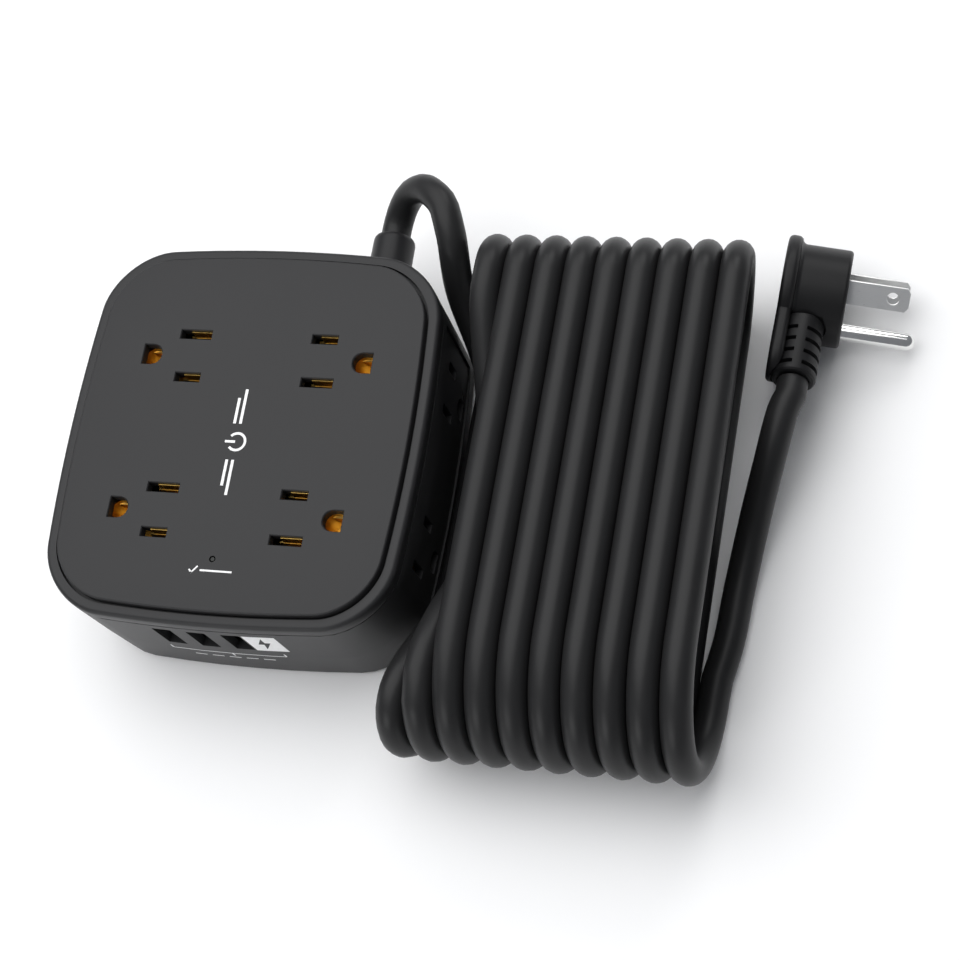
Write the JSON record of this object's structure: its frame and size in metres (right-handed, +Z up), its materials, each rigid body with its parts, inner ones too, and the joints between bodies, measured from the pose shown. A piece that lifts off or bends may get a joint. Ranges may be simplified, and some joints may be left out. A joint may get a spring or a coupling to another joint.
{
  "type": "surge protector power strip",
  "caption": "Low black box with grounded outlets on its top and both sides, upright USB ports in its front wall, a wound heavy cord and an angled flat plug.",
  "frame": {"origin": "middle of the housing, on the surface that its rubber feet stand on", "axes": "+Z up out of the face plate, -Y out through the USB ports, +Y out through the wall the cord leaves, +X towards the wound cord"},
  "size_m": [0.2211, 0.1615, 0.0459],
  "materials": {
    "housing_plastic": "fine satin texture, black",
    "frame_plastic": "fine satin texture, black",
    "plate_plastic": "fine satin texture, black",
    "foot_rubber": "matt black",
    "screw_steel": "zinc plated",
    "contact_brass": "stamped strip",
    "wire_black": "vinyl insulation",
    "wire_white": "vinyl insulation",
    "wire_green": "vinyl insulation",
    "board_laminate": "solder mask",
    "varistor_coat": "epoxy coat",
    "fuse_body": "ceramic-like body",
    "film_capacitor_case": "moulded case",
    "transformer_tape": "taped winding",
    "capacitor_sleeve": "shrink sleeve",
    "led_lens": "tinted epoxy",
    "light_pipe_clear": "clear acrylic",
    "usb_shell_steel": "nickel plated",
    "usb_insulator": "moulded black",
    "breaker_plastic": "moulded black",
    "button_plastic": "moulded black",
    "cord_vinyl": "satin black jacket",
    "relief_vinyl": "satin black, slotted",
    "plug_vinyl": "satin black moulding",
    "blade_nickel": "nickel plated, satin",
    "pin_nickel": "nickel plated, bright"
  },
  "bodies": {
    "root": {"main_housing": "housing_plastic", "base_cover": "housing_plastic", "side_outlet_plate_left": "housing_plastic", "side_outlet_plate_right": "housing_plastic", "top_frame": "frame_plastic", "face_plate": "plate_plastic", "rubber_foot_1": "foot_rubber", "rubber_foot_2": "foot_rubber", "rubber_foot_3": "foot_rubber", "rubber_foot_4": "foot_rubber", "base_screw_1": "screw_steel", "base_screw_2": "screw_steel", "base_screw_3": "screw_steel", "base_screw_4": "screw_steel", "board_screw_1": "screw_steel", "board_screw_2": "screw_steel", "top_neutral_contacts": "contact_brass", "top_line_contacts": "contact_brass", "top_ground_contacts": "contact_brass", "left_neutral_contacts": "contact_brass", "left_line_contacts": "contact_brass", "left_ground_contacts": "contact_brass", "right_neutral_contacts": "contact_brass", "right_line_contacts": "contact_brass", "right_ground_contacts": "contact_brass", "line_wire": "wire_black", "neutral_wire": "wire_white", "ground_wire": "wire_green", "power_board": "board_laminate", "usb_board": "board_laminate", "varistor_1": "varistor_coat", "varistor_2": "varistor_coat", "varistor_3": "varistor_coat", "thermal_fuse": "fuse_body", "filter_capacitor": "film_capacitor_case", "usb_transformer": "transformer_tape", "bulk_capacitor": "capacitor_sleeve", "status_led": "led_lens", "light_pipe": "light_pipe_clear", "usb_shell_1": "usb_shell_steel", "usb_shell_2": "usb_shell_steel", "usb_shell_3": "usb_shell_steel", "usb_tongue_1": "usb_insulator", "usb_tongue_2": "usb_insulator", "usb_tongue_3": "usb_insulator", "breaker_case": "breaker_plastic", "cord_lead": "cord_vinyl", "cord_coil": "cord_vinyl", "cord_tail": "cord_vinyl", "cord_strain_relief": "relief_vinyl", "plug_strain_relief": "relief_vinyl", "plug_body": "plug_vinyl", "plug_blade_1": "blade_nickel", "plug_blade_2": "blade_nickel", "plug_ground_pin": "pin_nickel"},
    "reset_button": {"reset_button": "button_plastic"}
  },
  "joints": [
    {"name": "reset_travel", "type": "slide", "parent": "root", "child": "reset_button", "axis": [0, 1, 0], "range_m": [0, 0.003]}
  ]
}
